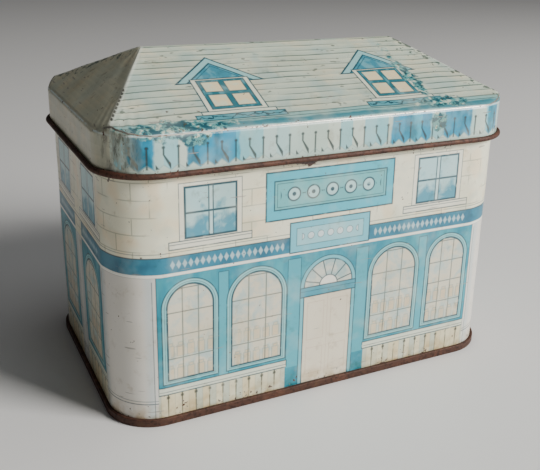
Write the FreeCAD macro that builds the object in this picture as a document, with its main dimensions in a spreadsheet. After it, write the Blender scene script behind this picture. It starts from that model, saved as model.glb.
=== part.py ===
"""A small shop-shaped tin of printed tinplate: body wall, bottom end and lift-off hipped lid."""
import FreeCAD, Part
import math
import os

import Sketcher
from FreeCAD import Rotation, Vector

document = FreeCAD.newDocument("shop_tin")

# Driving dimensions in millimetres. Everything below is worked out from these.
SIZES = {
    "body_length": 115.0,
    "body_depth": 73.0,
    "corner_radius": 12.0,
    "sheet": 0.28,
    "eave_height": 76.4,
    "ridge_height": 91.0,
    "ridge_length": 77.0,
    "ridge_width": 1.4,
    "skirt_depth": 10.2,
    "lid_curl": 1.45,
    "body_curl": 1.0,
    "lid_gap": 0.25,
    "rest_gap": 0.05,
    "eave_radius": 0.7,
    "foot_seam_height": 2.1,
    "layer_gap": 0.02,
    "panel_height": 2.6,
    "panel_margin": 7.0,
    "panel_step": 0.5,
    "side_seam_width": 4.2,
    "side_seam_notch": 3.0,
    "side_seam_groove": 0.14,
}

sheet = document.addObject("Spreadsheet::Sheet", "sizes")
for row, (name, value) in enumerate(SIZES.items(), start=1):
    sheet.set("A%d" % row, name)
    sheet.set("B%d" % row, str(value))
    sheet.setAlias("B%d" % row, name)
document.recompute()

# Lengths that several pieces share, as expressions of the driving dimensions.
# "Out" is measured outward from the outside face of the body wall.
TIN = "sizes.sheet"
GAP = "sizes.layer_gap"
CURL_OUT = "(sizes.body_curl - %s)" % TIN
SKIRT_IN = "(%s + sizes.lid_gap)" % CURL_OUT
SKIRT_OUT = "(%s + %s)" % (SKIRT_IN, TIN)
ROOF_RISE = "(sizes.ridge_height - sizes.eave_height)"
ROOF_RUN = "(sizes.body_depth / 2 + %s - sizes.ridge_width / 2)" % SKIRT_OUT
ROOF_PITCH = "(%s / %s)" % (ROOF_RISE, ROOF_RUN)
ROOF_STRETCH = "sqrt(1 + %s ^ 2)" % ROOF_PITCH
ROOF_DROP = "(%s * %s)" % (TIN, ROOF_STRETCH)
WALL_FOOT = "(%s + %s)" % (TIN, GAP)
SEAM_OUT = "(3 * %s + 3 * %s)" % (TIN, GAP)
LID_CURL_HEIGHT = "(sizes.eave_height - sizes.skirt_depth + sizes.lid_curl / 2)"
CURL_ROOF = "(%s + sizes.lid_gap + sizes.body_curl / 2) * %s" % (TIN, ROOF_PITCH)
BODY_CURL_HEIGHT = "(sizes.eave_height - %s + %s - sizes.body_curl / 2 * %s - sizes.rest_gap)" % (
    ROOF_DROP, CURL_ROOF, ROOF_STRETCH)
WALL_TOP = "(%s + sizes.body_curl / 2)" % BODY_CURL_HEIGHT

CURL_MOUTH = 70.0


def millimetres(expression):
    """The present value of an expression, for where a sketch's lines start."""
    value = sheet.evalExpression(expression)
    return float(getattr(value, "Value", value))


def new_body(label):
    """An empty body whose name and label are the piece's node name."""
    body = document.addObject("PartDesign::Body", label)
    body.Label = label
    return body


def plane_of(body, role):
    """One of a body's own origin planes."""
    for feature in body.Origin.OriginFeatures:
        if feature.Role == role:
            return feature
    raise ValueError(role)


def new_sketch(body, name, role, **offsets):
    """A sketch on an origin plane, moved along the sketch's own x, y and z by expressions."""
    sketch = body.newObject("Sketcher::SketchObject", name)
    sketch.AttachmentSupport = [(plane_of(body, role), "")]
    sketch.MapMode = "FlatFace"
    for axis, expression in offsets.items():
        sketch.setExpression("AttachmentOffset.Base." + axis, expression)
    return sketch


def bind(sketch, constraint, name, expression):
    """Add a dimension to a sketch and tie it to an expression."""
    index = sketch.addConstraint(constraint)
    sketch.renameConstraint(index, name)
    sketch.setExpression("Constraints." + name, expression)


def rounded_rectangle(sketch, out, name="outline"):
    """A rectangle about the origin that stands the length 'out' outside the body wall."""
    half_length = "sizes.body_length / 2 + %s" % out
    half_depth = "sizes.body_depth / 2 + %s" % out
    radius = "sizes.corner_radius + %s" % out
    free_rectangle(sketch, half_length, half_depth, radius, name)


def free_rectangle(sketch, half_length, half_depth, radius, name):
    """A rectangle about the origin with four equal rounded corners, fully dimensioned."""
    across = millimetres(half_length)
    deep = millimetres(half_depth)
    bend = millimetres(radius)
    first = sketch.GeometryCount
    centres = [
        Vector(across - bend, bend - deep, 0),
        Vector(across - bend, deep - bend, 0),
        Vector(bend - across, deep - bend, 0),
        Vector(bend - across, bend - deep, 0),
    ]
    for corner in range(4):
        turn = math.radians(90 * (corner - 1))
        step = Vector(math.cos(turn), math.sin(turn), 0) * bend
        before = centres[corner - 1] + step
        after = centres[corner] + step
        sketch.addGeometry(Part.LineSegment(before, after))
        circle = Part.Circle(centres[corner], Vector(0, 0, 1), bend)
        sketch.addGeometry(Part.ArcOfCircle(circle, turn, turn + math.pi / 2))
    for corner in range(4):
        line = first + 2 * corner
        arc = line + 1
        following = first + 2 * ((corner + 1) % 4)
        sketch.addConstraint(Sketcher.Constraint("Tangent", line, 2, arc, 1))
        sketch.addConstraint(Sketcher.Constraint("Tangent", arc, 2, following, 1))
        direction = "Horizontal" if corner % 2 == 0 else "Vertical"
        sketch.addConstraint(Sketcher.Constraint(direction, line))
        if corner:
            sketch.addConstraint(Sketcher.Constraint("Equal", first + 1, arc))
    sketch.addConstraint(Sketcher.Constraint("Symmetric", first + 1, 3, first + 5, 3, -1, 1))
    radius_here = Sketcher.Constraint("Radius", first + 1, bend)
    bind(sketch, radius_here, name + "_radius", radius)
    across_here = Sketcher.Constraint("DistanceX", -1, 1, first + 2, 1, across)
    bind(sketch, across_here, name + "_half_length", half_length)
    deep_here = Sketcher.Constraint("DistanceY", -1, 1, first + 4, 1, deep)
    bind(sketch, deep_here, name + "_half_depth", half_depth)


def polygon(sketch, corners):
    """A closed outline through corners given as (out, up) expressions, each one dimensioned."""
    places = [Vector(millimetres(out), millimetres(up), 0) for out, up in corners]
    for index, place in enumerate(places):
        following = places[(index + 1) % len(places)]
        sketch.addGeometry(Part.LineSegment(place, following))
    for index in range(len(places)):
        following = (index + 1) % len(places)
        sketch.addConstraint(Sketcher.Constraint("Coincident", index, 2, following, 1))
    for index, (out, up) in enumerate(corners):
        place = places[index]
        along = Sketcher.Constraint("DistanceX", -1, 1, index, 1, place.x)
        bind(sketch, along, "out_%d" % index, out)
        upward = Sketcher.Constraint("DistanceY", -1, 1, index, 1, place.y)
        bind(sketch, upward, "up_%d" % index, up)


def curl_profile(sketch, out, up, diameter, rolls_up):
    """The open ring that a sheet makes when its edge is rolled outward.

    The ring starts where it carries on the sheet, on its inner side, and stops short of it.
    """
    outer = millimetres("%s / 2" % diameter)
    inner = outer - millimetres(TIN)
    centre = Vector(millimetres(out), millimetres(up), 0)
    sweep = math.radians(360 - CURL_MOUTH)
    start = math.pi if rolls_up else math.pi - sweep
    for radius in (outer, inner):
        circle = Part.Circle(centre, Vector(0, 0, 1), radius)
        sketch.addGeometry(Part.ArcOfCircle(circle, start, start + sweep))
    root, tail = (1, 2) if rolls_up else (2, 1)
    ring = sketch.Geometry
    ends = [(ring[0].StartPoint, ring[1].StartPoint), (ring[0].EndPoint, ring[1].EndPoint)]
    for far, near in ends:
        sketch.addGeometry(Part.LineSegment(far, near))
    sketch.addConstraint(Sketcher.Constraint("Coincident", 0, 3, 1, 3))
    for line, end in ((2, 1), (3, 2)):
        sketch.addConstraint(Sketcher.Constraint("Coincident", line, 1, 0, end))
        sketch.addConstraint(Sketcher.Constraint("Coincident", line, 2, 1, end))
    for ring_index in (0, 1):
        sketch.addConstraint(Sketcher.Constraint("Horizontal", 0, 3, ring_index, root))
    tail_line = 3 if tail == 2 else 2
    sketch.addConstraint(Sketcher.Constraint("PointOnObject", 0, 3, tail_line))
    bind(sketch, Sketcher.Constraint("DistanceX", -1, 1, 0, 3, centre.x), "centre_out", out)
    bind(sketch, Sketcher.Constraint("DistanceY", -1, 1, 0, 3, centre.y), "centre_up", up)
    bind(sketch, Sketcher.Constraint("Radius", 0, outer), "outer_radius", "%s / 2" % diameter)
    bind(sketch, Sketcher.Constraint("Radius", 1, inner), "inner_radius",
         "%s / 2 - %s" % (diameter, TIN))
    reach = -outer * math.cos(math.radians(CURL_MOUTH))
    bind(sketch, Sketcher.Constraint("DistanceX", 0, 3, 0, tail, reach), "tail_reach",
         "-%s / 2 * cos(%s deg)" % (diameter, CURL_MOUTH))


def pad(body, name, sketch, length):
    """Extrude a sketch upward."""
    feature = body.newObject("PartDesign::Pad", name)
    feature.Profile = sketch
    feature.setExpression("Length", length)
    sketch.Visibility = False
    document.recompute()
    return feature


def pocket(body, name, sketch, length, upward=True):
    """Cut a sketch out of the body, upward unless told otherwise."""
    feature = body.newObject("PartDesign::Pocket", name)
    feature.Profile = sketch
    feature.Reversed = upward
    feature.setExpression("Length", length)
    sketch.Visibility = False
    document.recompute()
    return feature


def pipe(body, name, profile, path):
    """Carry a section all the way round a path."""
    feature = body.newObject("PartDesign::AdditivePipe", name)
    feature.Profile = profile
    feature.Spine = path
    profile.Visibility = False
    path.Visibility = False
    document.recompute()
    return feature


def fillet_at(body, name, base, radius, chosen):
    """Round the edges of a feature that a test picks out."""
    edges = []
    for index, edge in enumerate(base.Shape.Edges, start=1):
        if chosen(edge.BoundBox):
            edges.append("Edge%d" % index)
    feature = body.newObject("PartDesign::Fillet", name)
    feature.Base = (base, edges)
    feature.setExpression("Radius", radius)
    document.recompute()
    return feature


def ring_edge(out, up, lift="0"):
    """A test for the edges that run round the tin 'out' from its wall.

    They lie at the height 'up', or between it and 'lift' above it.
    """
    height = millimetres(up)
    highest = height + millimetres(lift)
    reach = millimetres("sizes.body_depth / 2 + %s" % out)
    wide = millimetres("sizes.body_length / 2 + %s" % out)

    def test(box):
        if box.ZMin < height - 1e-4 or box.ZMax > highest + 1e-4:
            return False
        on_side = abs(max(abs(box.YMin), abs(box.YMax)) - reach) < 1e-3
        on_end = abs(max(abs(box.XMin), abs(box.XMax)) - wide) < 1e-3
        return on_side or on_end

    return test


# Body wall: one printed blank bent to a rounded rectangle and locked together at the back.
# Its top edge is curled outward and its foot is hooked into the bottom end's seam.
wall = new_body("body_wall")
wall_outline = new_sketch(wall, "wall_outline", "XY_Plane", z=WALL_FOOT)
rounded_rectangle(wall_outline, "0", "outside")
rounded_rectangle(wall_outline, "-" + TIN, "inside")
pad(wall, "wall_sheet", wall_outline, "%s - %s" % (BODY_CURL_HEIGHT, WALL_FOOT))

wall_path = new_sketch(wall, "wall_path", "XY_Plane")
rounded_rectangle(wall_path, "0", "path")
curl_section = new_sketch(wall, "curl_section", "YZ_Plane", x="sizes.body_depth / 2")
curl_profile(curl_section, "sizes.body_curl / 2 - " + TIN, BODY_CURL_HEIGHT,
             "sizes.body_curl", rolls_up=False)
pipe(wall, "top_curl", curl_section, wall_path)

# The hook at the foot turns out under the cover hook and back up beside it.
hook_path = new_sketch(wall, "hook_path", "XY_Plane")
rounded_rectangle(hook_path, "0", "path")
hook_section = new_sketch(wall, "hook_section", "YZ_Plane", x="sizes.body_depth / 2")
HOOK_IN = "%s + 2 * %s" % (TIN, GAP)
HOOK_OUT = "2 * %s + 2 * %s" % (TIN, GAP)
HOOK_TURN = "2 * %s + %s" % (TIN, GAP)
HOOK_TOP = "sizes.foot_seam_height - %s - %s" % (TIN, GAP)
polygon(hook_section, [
    ("-" + TIN, WALL_FOOT),
    (HOOK_OUT, WALL_FOOT),
    (HOOK_OUT, HOOK_TOP),
    (HOOK_IN, HOOK_TOP),
    (HOOK_IN, HOOK_TURN),
    ("-" + TIN, HOOK_TURN),
])
pipe(wall, "body_hook", hook_section, hook_path)

# The lock seam: folded layers stand inside the wall, and a fine groove shows outside.
# It stops short of both edges, where the sheet is only lapped.
seam_strip = new_sketch(wall, "seam_strip", "XY_Plane",
                        z="sizes.foot_seam_height + sizes.side_seam_notch")
STRIP_FAR = "sizes.body_depth / 2 - %s / 2" % TIN
STRIP_NEAR = "sizes.body_depth / 2 - 3 * %s" % TIN
STRIP_HALF = "sizes.side_seam_width / 2"
polygon(seam_strip, [
    ("-" + STRIP_HALF, STRIP_NEAR),
    (STRIP_HALF, STRIP_NEAR),
    (STRIP_HALF, STRIP_FAR),
    ("-" + STRIP_HALF, STRIP_FAR),
])
STRIP_LENGTH = "%s - sizes.foot_seam_height - 2 * sizes.side_seam_notch" % WALL_TOP
pad(wall, "side_seam", seam_strip, STRIP_LENGTH)
groove_section = new_sketch(wall, "groove_section", "XY_Plane",
                            z="sizes.foot_seam_height + sizes.side_seam_notch")
polygon(groove_section, [
    (STRIP_HALF, "sizes.body_depth / 2 - sizes.side_seam_groove"),
    (STRIP_HALF + " + 2 * sizes.side_seam_groove", "sizes.body_depth / 2 + 0.1"),
    (STRIP_HALF + " - 2 * sizes.side_seam_groove", "sizes.body_depth / 2 + 0.1"),
])
pocket(wall, "side_seam_groove", groove_section, STRIP_LENGTH)

# Bottom end: a pressed panel whose rim is rolled round the wall's hook in a double seam.
end = new_body("bottom_end")
end_path = new_sketch(end, "end_path", "XY_Plane")
rounded_rectangle(end_path, "0", "path")
end_section = new_sketch(end, "end_section", "YZ_Plane", x="sizes.body_depth / 2")
CHUCK_OUT = "-%s - %s" % (TIN, GAP)
CHUCK_IN = "-2 * %s - %s" % (TIN, GAP)
COVER_IN = "2 * %s + 3 * %s" % (TIN, GAP)
COVER_TURN = "sizes.foot_seam_height - " + TIN
COVER_HOOK_OUT = "%s + %s" % (TIN, GAP)
COVER_HOOK_FOOT = "2 * %s + 2 * %s" % (TIN, GAP)
polygon(end_section, [
    (CHUCK_IN, "0"),
    (SEAM_OUT, "0"),
    (SEAM_OUT, "sizes.foot_seam_height"),
    (GAP, "sizes.foot_seam_height"),
    (GAP, COVER_HOOK_FOOT),
    (COVER_HOOK_OUT, COVER_HOOK_FOOT),
    (COVER_HOOK_OUT, COVER_TURN),
    (COVER_IN, COVER_TURN),
    (COVER_IN, TIN),
    (CHUCK_OUT, TIN),
    (CHUCK_OUT, "sizes.panel_height"),
    (CHUCK_IN, "sizes.panel_height"),
])
double_seam = pipe(end, "double_seam", end_section, end_path)
panel_outline = new_sketch(end, "panel_outline", "XY_Plane",
                           z="sizes.panel_height - " + TIN)
rounded_rectangle(panel_outline, CHUCK_OUT, "panel")
pad(end, "panel", panel_outline, TIN)
step_outline = new_sketch(end, "step_outline", "XY_Plane",
                          z="sizes.panel_height - %s + sizes.panel_step" % TIN)
rounded_rectangle(step_outline, "-sizes.panel_margin", "step")
pad(end, "raised_panel", step_outline, TIN)
riser_outline = new_sketch(end, "riser_outline", "XY_Plane",
                           z="sizes.panel_height - " + TIN)
rounded_rectangle(riser_outline, "-sizes.panel_margin", "outside")
rounded_rectangle(riser_outline, "-sizes.panel_margin - " + TIN, "inside")
pad(end, "panel_riser", riser_outline, "sizes.panel_step + " + TIN)
under_outline = new_sketch(end, "under_outline", "XY_Plane",
                           z="sizes.panel_height - " + TIN)
rounded_rectangle(under_outline, "-sizes.panel_margin - " + TIN, "under")
stepped = pocket(end, "panel_underside", under_outline, "sizes.panel_step")
for name, up in (("rim_foot", "0"), ("rim_top", "sizes.foot_seam_height")):
    stepped = fillet_at(end, name, stepped, TIN + " * 0.9", ring_edge(SEAM_OUT, up))

# Lid: one drawn sheet with a hipped roof, a straight skirt and an edge rolled outward.
# It slips down over the body's top curl and rests on it.
lid = new_body("lid")
lid_outline = new_sketch(lid, "lid_outline", "XY_Plane", z=LID_CURL_HEIGHT)
rounded_rectangle(lid_outline, SKIRT_OUT, "lid")
pad(lid, "lid_block", lid_outline, "sizes.ridge_height - " + LID_CURL_HEIGHT)
CLEAR = "10"
LID_HALF_LENGTH = "(sizes.body_length / 2 + %s)" % SKIRT_OUT
LID_HALF_DEPTH = "(sizes.body_depth / 2 + %s)" % SKIRT_OUT


def cut_slopes(names, plane, half_ridge, half_eave, half_cut):
    """Cut away what stands above a pair of roof slopes, one on each side, through the block."""
    for side, name in zip((-1, 1), names):
        profile = new_sketch(lid, name + "_profile", plane)
        ridge = "%d * %s" % (side, half_ridge)
        eave = "%d * %s" % (side, half_eave)
        beyond = "%d * (%s + %s)" % (side, half_eave, CLEAR)
        above = "sizes.ridge_height + " + CLEAR
        polygon(profile, [(ridge, "sizes.ridge_height"), (eave, "sizes.eave_height"),
                          (beyond, "sizes.eave_height"), (beyond, above), (ridge, above)])
        cut = pocket(lid, name, profile, "2 * (%s + %s)" % (half_cut, CLEAR))
        cut.Midplane = True
        document.recompute()
    return cut


def foot_face(shape, height):
    """The name of the flat face that faces down at a height."""
    for index, face in enumerate(shape.Faces, start=1):
        if abs(face.BoundBox.ZMax - height) < 1e-6:
            return "Face%d" % index


cut_slopes(("front_slope", "back_slope"), "YZ_Plane", "sizes.ridge_width / 2", LID_HALF_DEPTH,
           LID_HALF_LENGTH)
roof_block = cut_slopes(("left_slope", "right_slope"), "XZ_Plane", "sizes.ridge_length / 2",
                        LID_HALF_LENGTH, LID_HALF_DEPTH)
lid_sheet = lid.newObject("PartDesign::Thickness", "lid_sheet")
lid_sheet.Base = (roof_block, [foot_face(roof_block.Shape, millimetres(LID_CURL_HEIGHT))])
lid_sheet.Reversed = True
lid_sheet.setExpression("Value", TIN)
document.recompute()
CORNER_LIFT = "sizes.corner_radius / 3"
rounded = fillet_at(lid, "eave_round", lid_sheet, "sizes.eave_radius",
                    ring_edge(SKIRT_OUT, "sizes.eave_height", CORNER_LIFT))
fillet_at(lid, "eave_hollow", rounded, "sizes.eave_radius - " + TIN,
          ring_edge(SKIRT_IN, "sizes.eave_height - 2 * " + TIN, CORNER_LIFT))

edge_path = new_sketch(lid, "edge_path", "XY_Plane")
rounded_rectangle(edge_path, SKIRT_IN, "path")
edge_section = new_sketch(lid, "edge_section", "YZ_Plane", x="sizes.body_depth / 2 + " + SKIRT_IN)
curl_profile(edge_section, "sizes.lid_curl / 2", LID_CURL_HEIGHT, "sizes.lid_curl", rolls_up=True)
pipe(lid, "edge_curl", edge_section, edge_path)

document.recompute()
for item in document.Objects:
    faults = [state for state in item.State if state in ("Invalid", "Error")]
    if faults:
        raise RuntimeError("%s is %s" % (item.Label, faults))

os.makedirs("parts", exist_ok=True)
for piece in (wall, end, lid):
    shape = piece.Shape
    if shape.isNull() or not shape.isValid() or len(shape.Solids) != 1:
        raise RuntimeError("%s has no sound solid" % piece.Label)
    shape.exportStep("parts/%s.step" % piece.Label)
    box = shape.BoundBox
    print("%-11s volume %8.1f  x %.2f..%.2f  y %.2f..%.2f  z %.2f..%.2f" % (
        piece.Label, shape.Volume, box.XMin, box.XMax, box.YMin, box.YMax, box.ZMin, box.ZMax))
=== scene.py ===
import math

import bmesh
import bpy
import numpy as np
from mathutils import Matrix, Vector


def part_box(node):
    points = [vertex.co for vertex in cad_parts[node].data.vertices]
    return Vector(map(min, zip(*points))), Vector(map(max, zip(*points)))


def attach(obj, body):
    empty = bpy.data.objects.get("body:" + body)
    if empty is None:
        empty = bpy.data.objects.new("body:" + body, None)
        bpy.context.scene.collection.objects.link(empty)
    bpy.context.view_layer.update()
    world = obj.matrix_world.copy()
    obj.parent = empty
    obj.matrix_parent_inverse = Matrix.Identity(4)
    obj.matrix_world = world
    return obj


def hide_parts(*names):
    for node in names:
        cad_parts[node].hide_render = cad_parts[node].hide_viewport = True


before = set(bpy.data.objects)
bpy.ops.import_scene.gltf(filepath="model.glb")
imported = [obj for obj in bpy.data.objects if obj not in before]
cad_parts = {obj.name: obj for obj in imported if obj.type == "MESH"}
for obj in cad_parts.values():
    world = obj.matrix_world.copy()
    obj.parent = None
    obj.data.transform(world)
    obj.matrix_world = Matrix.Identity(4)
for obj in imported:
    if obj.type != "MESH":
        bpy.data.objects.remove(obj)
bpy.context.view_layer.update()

# ---------------------------------------------------------------------------
# Body wall. One blank of printed tinplate, bent to a rounded rectangle and
# locked together at the middle of the back. Its top edge is curled outward
# under the lid, and its foot is hooked into the bottom end's seam.
# ---------------------------------------------------------------------------
MM = 0.001
SHEET = 0.28
LAYER_GAP = 0.02
SEAM_OUT = 3 * SHEET + 3 * LAYER_GAP
CORNER = 12.0

_, foot_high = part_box("bottom_end")
wall_low, wall_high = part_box("body_wall")
HALF_LENGTH = foot_high.x / MM - SEAM_OUT
HALF_DEPTH = foot_high.y / MM - SEAM_OUT
FLAT_X = HALF_LENGTH - CORNER
FLAT_Y = HALF_DEPTH - CORNER
ARC = CORNER * math.pi / 2
HALF_ROUND = 2 * FLAT_X + 2 * ARC + 2 * FLAT_Y


def tin_path(front_steps, corner_steps, end_steps):
    """Once round the wall's outline, from the middle of the back by way of the front.

    The outline is a circle of radius CORNER whose centre slides along each flat while its
    angle stays still, and whose angle turns at each corner while its centre stays still.
    Distance is measured along the wall and is nought at the middle of the front. Returns
    the distance, the outline's points, the outward directions and the sliding centre.
    """
    runs = np.array([FLAT_X, ARC, 2 * FLAT_Y, ARC, 2 * FLAT_X, ARC, 2 * FLAT_Y, ARC, FLAT_X])
    steps = [front_steps // 2, corner_steps, end_steps, corner_steps, front_steps,
             corner_steps, end_steps, corner_steps, front_steps // 2]
    knots = np.concatenate([[0.0], np.cumsum(runs)]) - HALF_ROUND
    spans = [np.linspace(start, start + reach, count, endpoint=False)
             for start, reach, count in zip(knots, runs, steps)]
    distance = np.concatenate(spans)
    angle = np.interp(distance, knots, np.radians([90, 90, 180, 180, 270, 270, 360, 360, 450, 450]))
    centre_x = np.interp(distance, knots, FLAT_X * np.array([0, -1, -1, -1, -1, 1, 1, 1, 1, 0]))
    centre_y = np.interp(distance, knots, FLAT_Y * np.array([1, 1, 1, -1, -1, -1, -1, 1, 1, 1]))
    outward = np.stack([np.cos(angle), np.sin(angle)], axis=1)
    centre = np.stack([centre_x, centre_y], axis=1)
    return distance, centre + CORNER * outward, outward, centre


def bend(centre_out, centre_up, radius, start, end, count):
    """Points (out, up) on a circle between two angles in degrees."""
    turn = np.radians(np.linspace(start, end, count))
    return np.stack([centre_out + radius * np.cos(turn), centre_up + radius * np.sin(turn)], axis=1)


def run(start, end, count):
    """Evenly spaced points (out, up) from start towards end, leaving the end itself out."""
    share = np.linspace(0.0, 1.0, count, endpoint=False)[:, None]
    return np.array(start) + (np.array(end) - np.array(start)) * share


def skin(name, points, along, across, closed):
    """A mesh over a grid of points in millimetres that closes on itself along its first axis.

    Each face joins four neighbours of the grid, and if closed is true the second axis joins
    up as well. The map "print" holds millimetres along and across the sheet.
    """
    columns, rows = points.shape[:2]
    row_count = rows if closed else rows - 1
    column, row = np.meshgrid(np.arange(columns), np.arange(row_count), indexing="ij")
    next_column = (column + 1) % columns
    next_row = (row + 1) % rows
    corners = np.stack([column * rows + row, next_column * rows + row,
                        next_column * rows + next_row, column * rows + next_row], axis=-1)
    faces = corners.reshape(-1, 4)
    mesh = bpy.data.meshes.new(name)
    mesh.from_pydata(points.reshape(-1, 3) * MM, [], faces)
    wrap = np.where(next_column == 0, 2 * HALF_ROUND, 0.0)
    here = along[column, row]
    u = np.stack([here, along[next_column, row] + wrap,
                  along[next_column, next_row] + wrap, along[column, next_row]], axis=-1)
    v = np.stack([across[column, row], across[next_column, row],
                  across[next_column, next_row], across[column, next_row]], axis=-1)
    layer = mesh.uv_layers.new(name="print")
    layer.data.foreach_set("uv", np.stack([u, v], axis=-1).reshape(-1).astype(np.float32))
    mesh.shade_smooth()
    piece = bpy.data.objects.new(name, mesh)
    bpy.context.scene.collection.objects.link(piece)
    return piece


def ripple(distance, height, size, seed):
    """Slow waves over the sheet: the mean of four crossed sine waves of about 'size' each way.

    Each wave goes a whole number of times round the tin, so the waves meet at the back.
    """
    total = 0.0
    for number in range(4):
        wave = size * (0.7 + 0.23 * number)
        turns = round(2 * HALF_ROUND / wave)
        around = distance * math.pi * turns / HALF_ROUND + seed * 1.7 + number * 2.1
        upward = height * 2 * math.pi / wave + seed * 2.9 + number * 1.3
        total = total + 0.25 * np.sin(around) * np.sin(upward)
    return total


# The profile is out from the wall's face and up from the floor: hook, wall, curl and back.
BODY_CURL = 1.0
WALL_FOOT = wall_low.z / MM
WALL_TOP = wall_high.z / MM
CURL_UP = WALL_TOP - BODY_CURL / 2
CURL_OUT = BODY_CURL / 2 - SHEET
HOOK_IN = SHEET + 2 * LAYER_GAP
HOOK_OUT = 2 * SHEET + 2 * LAYER_GAP
SEAM_HEIGHT = 2.1
HOOK_TOP = SEAM_HEIGHT - SHEET - LAYER_GAP
HOOK_TURN = WALL_FOOT + SHEET

wall_profile = np.concatenate([
    run((-SHEET, WALL_FOOT), (HOOK_OUT, WALL_FOOT), 3),
    run((HOOK_OUT, WALL_FOOT), (HOOK_OUT, HOOK_TOP), 2),
    run((HOOK_OUT, HOOK_TOP), (HOOK_IN, HOOK_TOP), 2),
    run((HOOK_IN, HOOK_TOP), (HOOK_IN, HOOK_TURN), 2),
    run((HOOK_IN, HOOK_TURN), (0.0, HOOK_TURN), 2),
    run((0.0, HOOK_TURN), (0.0, CURL_UP), 60),
    bend(CURL_OUT, CURL_UP, BODY_CURL / 2 - SHEET, 180, -110, 20),
    bend(CURL_OUT, CURL_UP, BODY_CURL / 2, -110, 180, 24),
    run((-SHEET, CURL_UP - 0.01), (-SHEET, WALL_FOOT), 60),
])
distance, outline, outward, _ = tin_path(72, 20, 40)
out, up = wall_profile[:, 0], wall_profile[:, 1]

# The sheet waves a little and its flats bulge, but not near the foot seam and the curl.
WAVE_HEIGHT = 0.10
WAVE_LENGTH = 31.0
BULGE = 0.30
FADE_OUT = 12.0
above_seam = np.clip((up - 4.0) / FADE_OUT, 0, 1)
below_curl = np.clip((CURL_UP - 2.0 - up) / FADE_OUT, 0, 1)
free_sheet = above_seam * below_curl
waves = WAVE_HEIGHT * ripple(distance[:, None], up[None, :], WAVE_LENGTH, 1.0) * free_sheet
crown = BULGE * np.sin(np.pi * np.clip(up / WALL_TOP, 0, 1)) * free_sheet
flatness = np.abs(outward[:, :1]) ** 60 + np.abs(outward[:, 1:]) ** 60
stand = out[None, :] + waves + crown * flatness

# The lock seam's folded layers stand inside the wall, and stop short of both edges.
SEAM_HALF = 2.3
SEAM_EDGE = 0.4
SEAM_NOTCH = 3.0
from_seam = HALF_ROUND - np.abs(distance)
inside = (np.abs(out + SHEET) < 1e-6) & (up > foot_high.z / MM + SEAM_NOTCH)
inside &= up < WALL_TOP - SEAM_NOTCH
strip = np.clip((SEAM_HALF - from_seam) / SEAM_EDGE, 0, 1)[:, None] * inside[None, :]
stand = stand - 2 * SHEET * strip
wall_points = np.empty((len(distance), len(up), 3))
wall_points[..., :2] = outline[:, None, :] + outward[:, None, :] * stand[..., None]
wall_points[..., 2] = up[None, :]
along = np.broadcast_to(distance[:, None], stand.shape)
across = np.broadcast_to(up[None, :], stand.shape)
wall = skin("printed_wall", wall_points, along, across, closed=True)


class Field:
    """A number that varies over a sheet, kept as a socket of its material's node tree."""

    def __init__(self, tree, socket):
        self.tree = tree
        self.socket = socket

    def work(self, operation, *others, clamp=False):
        """Join this number with others by one step of arithmetic."""
        node = self.tree.nodes.new("ShaderNodeMath")
        node.operation = operation
        node.use_clamp = clamp
        for slot, value in zip(node.inputs, (self, *others)):
            if isinstance(value, Field):
                self.tree.links.new(value.socket, slot)
            else:
                slot.default_value = value
        return Field(self.tree, node.outputs[0])

    def __add__(self, other):
        return self.work("ADD", other)

    def __sub__(self, other):
        return self.work("SUBTRACT", other)

    def __mul__(self, other):
        return self.work("MULTIPLY", other)

    def __abs__(self):
        return self.work("ABSOLUTE")

    def less(self, other):
        return self.work("MINIMUM", other)

    def more(self, other):
        return self.work("MAXIMUM", other)

    def above(self, edge):
        """1 where the number is greater than the edge, else 0."""
        return self.work("GREATER_THAN", edge)

    def rise(self, low, high):
        """0 up to low, 1 from high on, and a straight slope between."""
        return self.work("MULTIPLY_ADD", 1 / (high - low), -low / (high - low), clamp=True)

    def cover(self, soft=0.22):
        """How much ink lies here, for a signed distance in millimetres that is negative inside."""
        return self.work("MULTIPLY_ADD", -1 / soft, 0.5, clamp=True)

    def rim(self, width):
        """The signed distance to a line of this width drawn along an edge."""
        return abs(self) - width / 2

    def beats(self, pitch, start=0.0):
        """The distance to the nearest of a row of places 'pitch' apart."""
        return self.work("ADD", -start).work("PINGPONG", pitch / 2)


def span(x, low, high):
    """The signed distance to the strip between low and high."""
    return abs(x - (low + high) / 2) - (high - low) / 2


def panel(x, z, left, right, foot, top):
    """The signed distance to an upright rectangle."""
    return span(x, left, right).more(span(z, foot, top))


def length(x, z):
    """The length of the line from nought to (x, z)."""
    return (x * x).work("ADD", z * z).work("SQRT")


def arch(x, z, radius, spring, foot):
    """The signed distance to a round-headed opening centred on x = 0."""
    head = length(x, (z - spring).more(0.0)) - radius
    return head.more((z - foot) * -1.0)


def join(*shapes):
    """The signed distance to whichever shape is nearest."""
    result = shapes[0]
    for shape in shapes[1:]:
        result = result.less(shape)
    return result


def colour(red, green, blue):
    """A paint chip's red, green and blue, from 0 to 255, as the light it reflects."""
    chip = np.array([red, green, blue]) / 255
    light = np.where(chip < 0.04045, chip / 12.92, ((chip + 0.055) / 1.055) ** 2.4)
    return (*light.tolist(), 1.0)


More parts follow.
